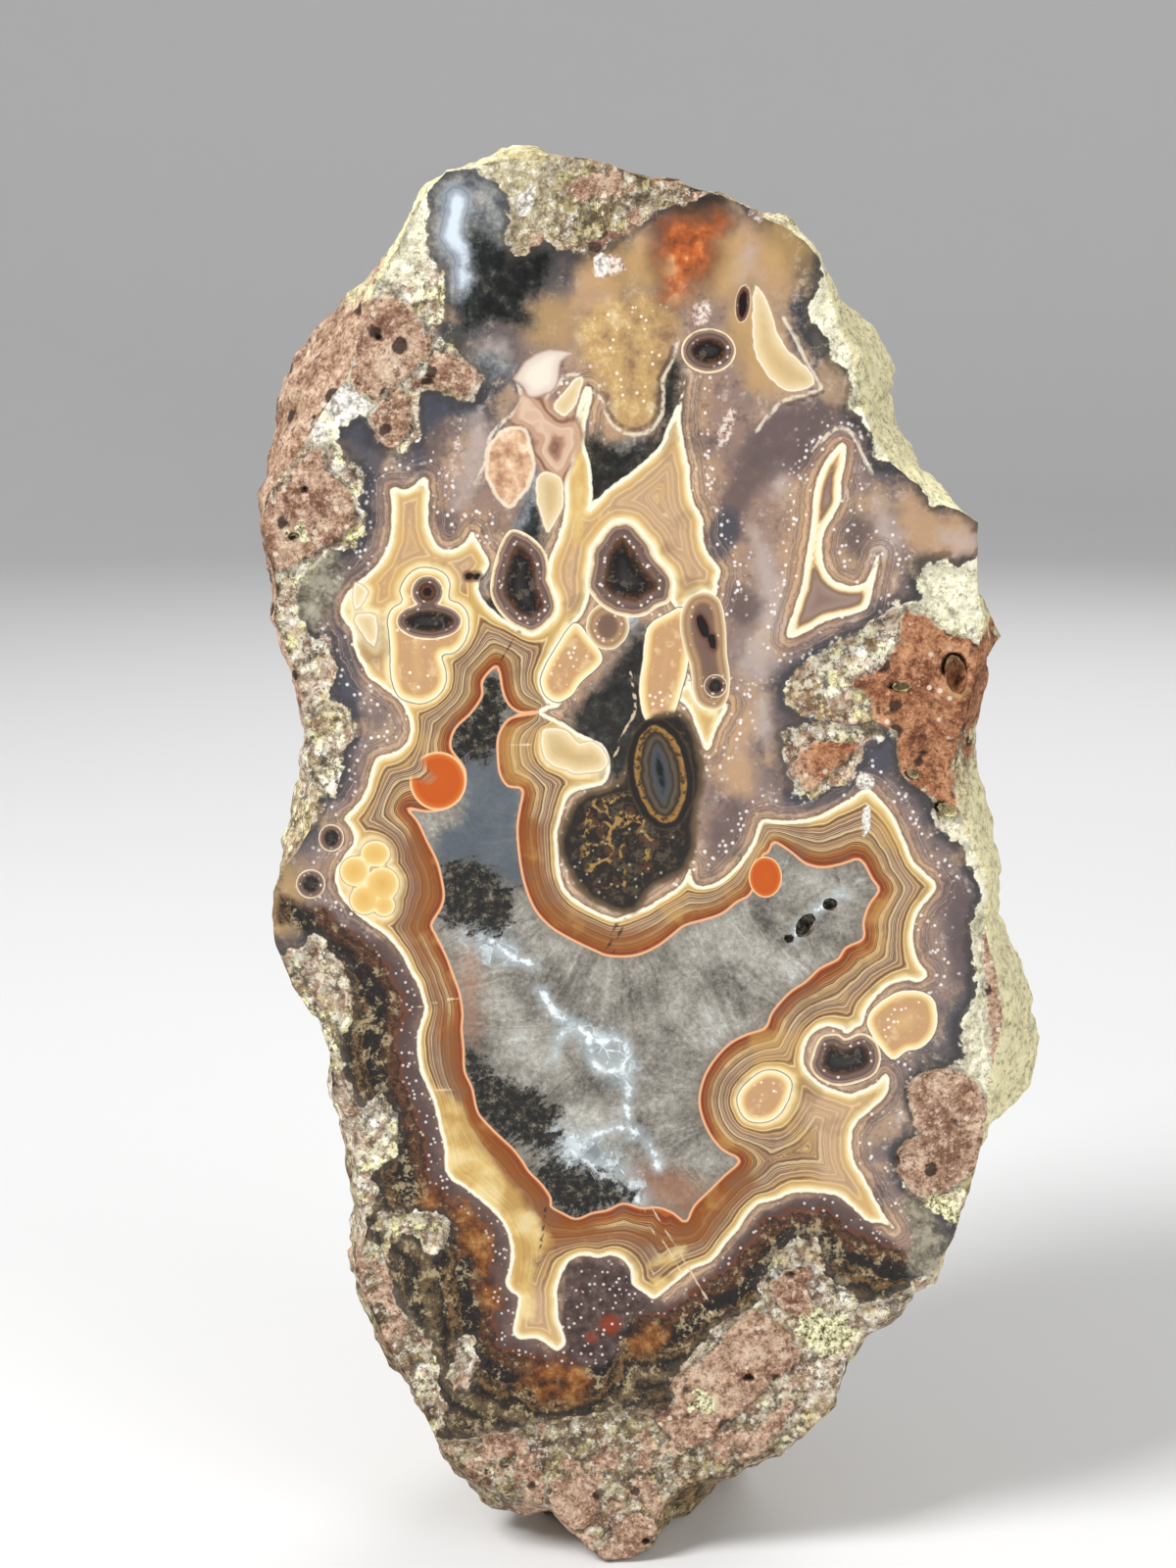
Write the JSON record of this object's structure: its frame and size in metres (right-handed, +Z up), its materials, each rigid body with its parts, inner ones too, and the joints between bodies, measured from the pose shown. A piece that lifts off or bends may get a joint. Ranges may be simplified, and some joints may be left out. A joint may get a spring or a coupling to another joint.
{
  "type": "laguna agate",
  "caption": "Half of an agate nodule with one flat polished face and a rough domed rind, upright on a small flat spot.",
  "frame": {"origin": "centre of the flat spot under the stone, where it rests", "axes": "+Z up along the stone's length, +Y into the stone away from the polished face, +X to the right seen from the polished face"},
  "size_m": [0.1038, 0.0596, 0.1894],
  "materials": {
    "agate_stone": "polished cut face, weathered rind"
  },
  "bodies": {
    "root": {"agate": "agate_stone"}
  },
  "joints": []
}
